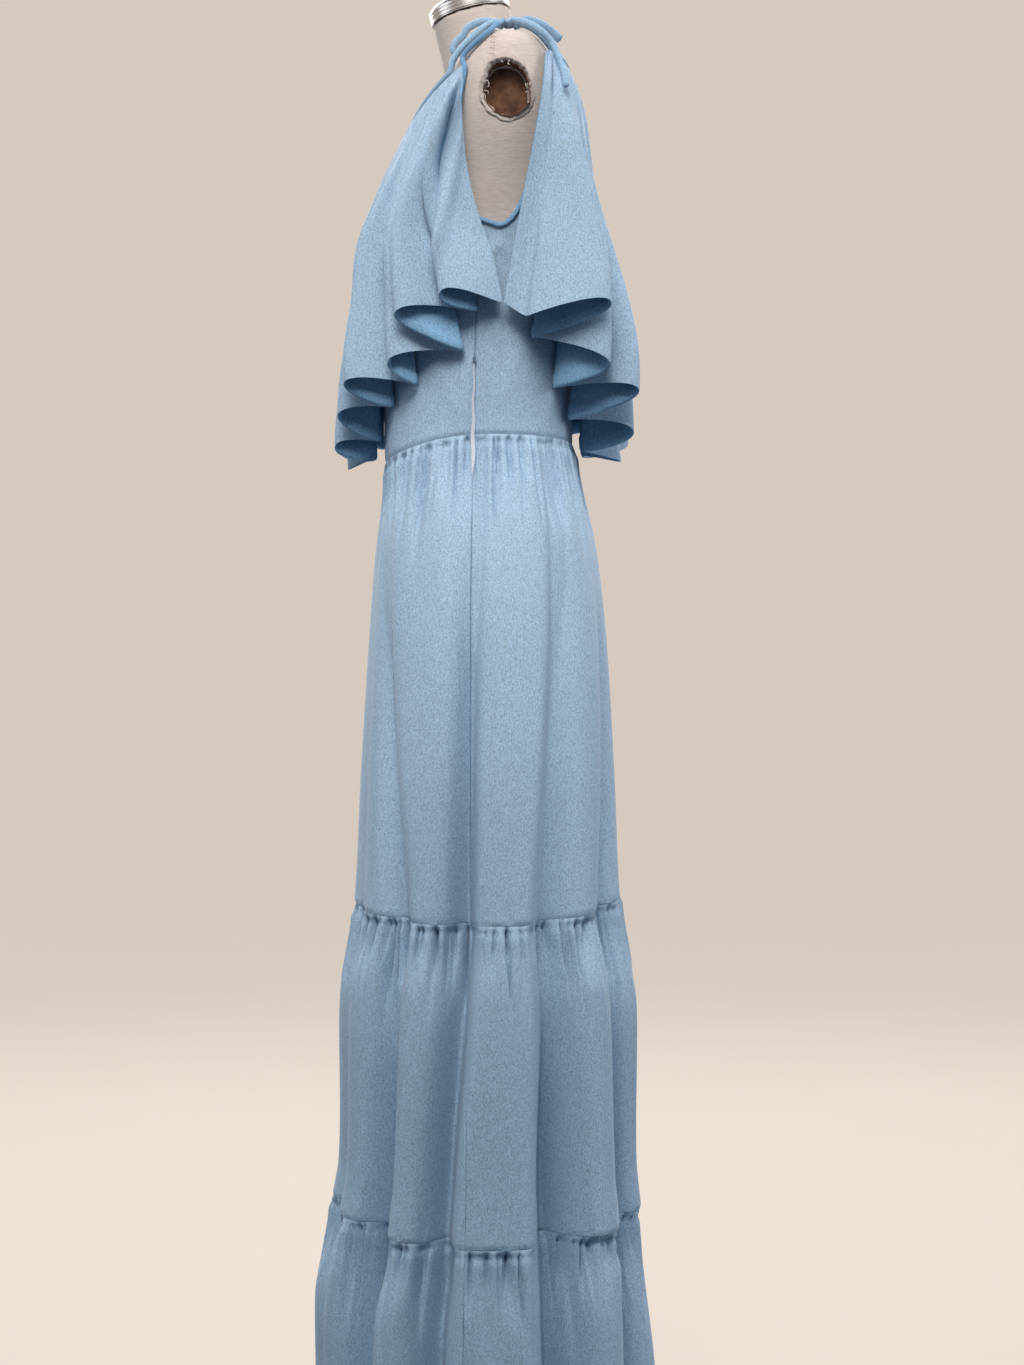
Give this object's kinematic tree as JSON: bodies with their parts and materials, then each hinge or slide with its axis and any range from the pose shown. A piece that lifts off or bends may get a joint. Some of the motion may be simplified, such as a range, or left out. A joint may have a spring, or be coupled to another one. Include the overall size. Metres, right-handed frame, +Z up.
{
  "type": "flutter maxi dress on a limbless dress form",
  "caption": "Sleeveless light blue crepe maxi dress with gathered flounces front and back, shoulder ties and a tiered skirt, worn by a linen covered limbless dress form on a pole stand.",
  "frame": {"origin": "centre of the stand's underside, on the floor", "axes": "+Z up; -Y towards the front of the dress; +X towards the wearer's left side, where the zip is"},
  "size_m": [0.4716, 0.3457, 1.5398],
  "materials": {
    "crepe": "matte pebbled knit",
    "zip_tape": "matte woven tape",
    "zip_metal": "enamelled",
    "linen": "matte linen",
    "board": "matte",
    "chrome": "polished",
    "stand_steel": "satin",
    "stand_enamel": "satin"
  },
  "bodies": {
    "root": {"armhole_binding_left": "crepe", "armhole_binding_right": "crepe", "bodice_back": "crepe", "bodice_front": "crepe", "flounce_back": "crepe", "flounce_front": "crepe", "form_arm_plate_left": "board", "form_arm_plate_right": "board", "form_neck_cap": "chrome", "form_torso": "linen", "neck_tie_back": "crepe", "neck_tie_front": "crepe", "shoulder_knot_left": "crepe", "shoulder_knot_right": "crepe", "stand_base": "stand_enamel", "stand_pole": "stand_steel", "tie_loop_left": "crepe", "tie_loop_right": "crepe", "tie_tail_back_left": "crepe", "tie_tail_back_right": "crepe", "tie_tail_hanging_left": "crepe", "tie_tail_hanging_right": "crepe", "tier_1_back": "crepe", "tier_1_front": "crepe", "tier_2_back": "crepe", "tier_2_front": "crepe", "tier_3_back": "crepe", "tier_3_front": "crepe", "zip_slider_left": "zip_metal", "zip_tape_left": "zip_tape"}
  },
  "joints": []
}
